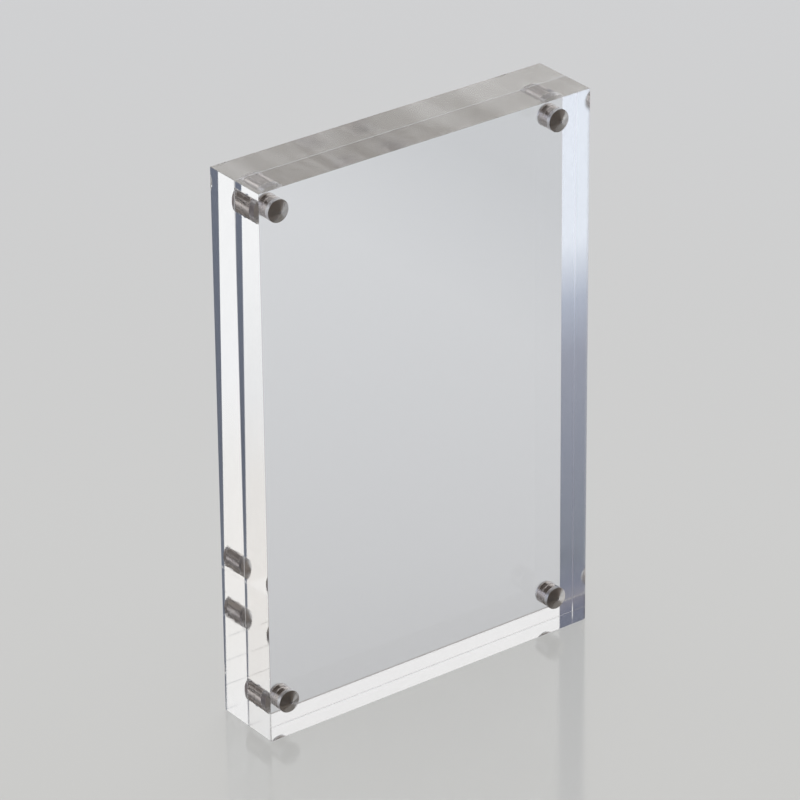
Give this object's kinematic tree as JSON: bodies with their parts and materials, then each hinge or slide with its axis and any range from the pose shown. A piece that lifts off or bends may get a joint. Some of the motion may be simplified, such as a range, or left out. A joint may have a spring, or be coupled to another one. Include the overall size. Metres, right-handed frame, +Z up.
{
  "type": "acrylic block frame",
  "caption": "Free-standing photo display block: two thick clear acrylic slabs held face to face by small round magnets let into the corners, with the print between them.",
  "frame": {"origin": "middle of the underside, in the seam between the two slabs, on the surface that the frame stands on", "axes": "+X to the viewer's right along the short side, +Y from the front slab to the rear one, +Z up along the long side"},
  "size_m": [0.1016, 0.02, 0.1524],
  "materials": {
    "acrylic": "polished",
    "nickel": "polished"
  },
  "bodies": {
    "rear": {"rear_block": "acrylic", "rear_magnet_top_left": "nickel", "rear_magnet_top_right": "nickel", "rear_magnet_bottom_left": "nickel", "rear_magnet_bottom_right": "nickel"},
    "front": {"front_block": "acrylic", "front_magnet_top_left": "nickel", "front_magnet_top_right": "nickel", "front_magnet_bottom_left": "nickel", "front_magnet_bottom_right": "nickel"}
  },
  "joints": [
    {"name": "front_block_pull", "type": "slide", "parent": "rear", "child": "front", "axis": [0, -1, 0], "range_m": [0, 0.05]}
  ]
}
